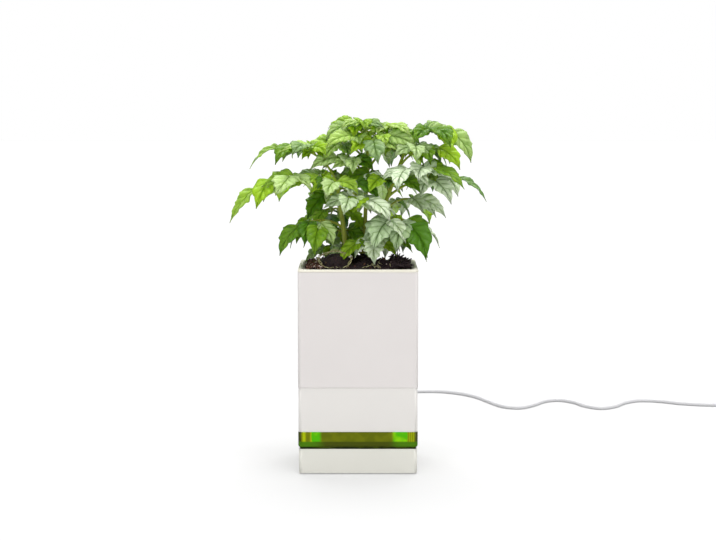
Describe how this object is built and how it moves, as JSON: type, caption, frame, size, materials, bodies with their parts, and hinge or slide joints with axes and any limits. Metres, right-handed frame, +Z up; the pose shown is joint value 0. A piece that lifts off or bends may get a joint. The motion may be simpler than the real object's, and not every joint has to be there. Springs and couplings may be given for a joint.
{
  "type": "self-watering planter",
  "caption": "Square white planter on a water tank and a powered base with a cord, holding a leafy plant in soil.",
  "frame": {"origin": "centre of the anti-slip pad's underside, on the table", "axes": "+Z up; the front faces -Y; +X to the right seen from the front"},
  "size_m": [0.3933, 0.3458, 0.2086],
  "materials": {
    "pad_rubber": "matte",
    "base_plate_plastic": "fine matte",
    "base_plastic": "satin white",
    "board_laminate": "solder mask",
    "component_plastic": "moulded",
    "socket_steel": "tin plated",
    "screw_steel": "zinc plated",
    "cord_plastic": "soft satin",
    "plug_steel": "nickel plated",
    "tray_plastic": "translucent olive green, glossy",
    "seal_silicone": "translucent silicone",
    "collar_plastic": "satin gloss white",
    "pot_plastic": "satin gloss white",
    "rim_plastic": "satin cream white",
    "well_plastic": "dark",
    "wick_fibre": "pressed felt",
    "potting_mix": "damp peat and bark mix",
    "green_stem": "smooth green stem",
    "leaf_blade": "glossy leaf"
  },
  "bodies": {
    "base": {"anti_slip_pad": "pad_rubber", "base_plate": "base_plate_plastic", "base_housing": "base_plastic", "circuit_board": "board_laminate", "power_components": "component_plastic", "charging_sockets": "socket_steel", "board_screws": "screw_steel", "plate_screws": "screw_steel", "strain_relief": "cord_plastic", "supply_cord": "cord_plastic", "cord_coil": "cord_plastic", "plug_grip": "cord_plastic", "plug_shell": "plug_steel"},
    "tank": {"water_tray": "tray_plastic", "tank_seal": "seal_silicone", "tank_collar": "collar_plastic", "tank_screws": "screw_steel"},
    "pot": {"pot_shell": "pot_plastic", "pot_liner": "rim_plastic", "soil_well": "well_plastic", "wick_felt": "wick_fibre", "potting_soil": "potting_mix", "plant_stems": "green_stem", "leaf_1": "leaf_blade", "leaf_2": "leaf_blade", "leaf_3": "leaf_blade", "leaf_4": "leaf_blade", "leaf_5": "leaf_blade", "leaf_6": "leaf_blade", "leaf_7": "leaf_blade", "leaf_8": "leaf_blade", "leaf_9": "leaf_blade", "leaf_10": "leaf_blade", "leaf_11": "leaf_blade", "leaf_12": "leaf_blade", "leaf_13": "leaf_blade", "leaf_14": "leaf_blade", "leaf_15": "leaf_blade", "leaf_16": "leaf_blade", "leaf_17": "leaf_blade", "leaf_18": "leaf_blade", "leaf_19": "leaf_blade", "leaf_20": "leaf_blade", "leaf_21": "leaf_blade", "leaf_22": "leaf_blade", "leaf_23": "leaf_blade", "leaf_24": "leaf_blade", "leaf_25": "leaf_blade", "leaf_26": "leaf_blade", "leaf_27": "leaf_blade", "leaf_28": "leaf_blade", "leaf_29": "leaf_blade"}
  },
  "joints": [
    {"name": "tank_lift", "type": "slide", "parent": "base", "child": "tank", "axis": [0, 0, 1], "range_m": [0, 0.03]},
    {"name": "pot_lift", "type": "slide", "parent": "tank", "child": "pot", "axis": [0, 0, 1], "range_m": [0, 0.06]}
  ]
}
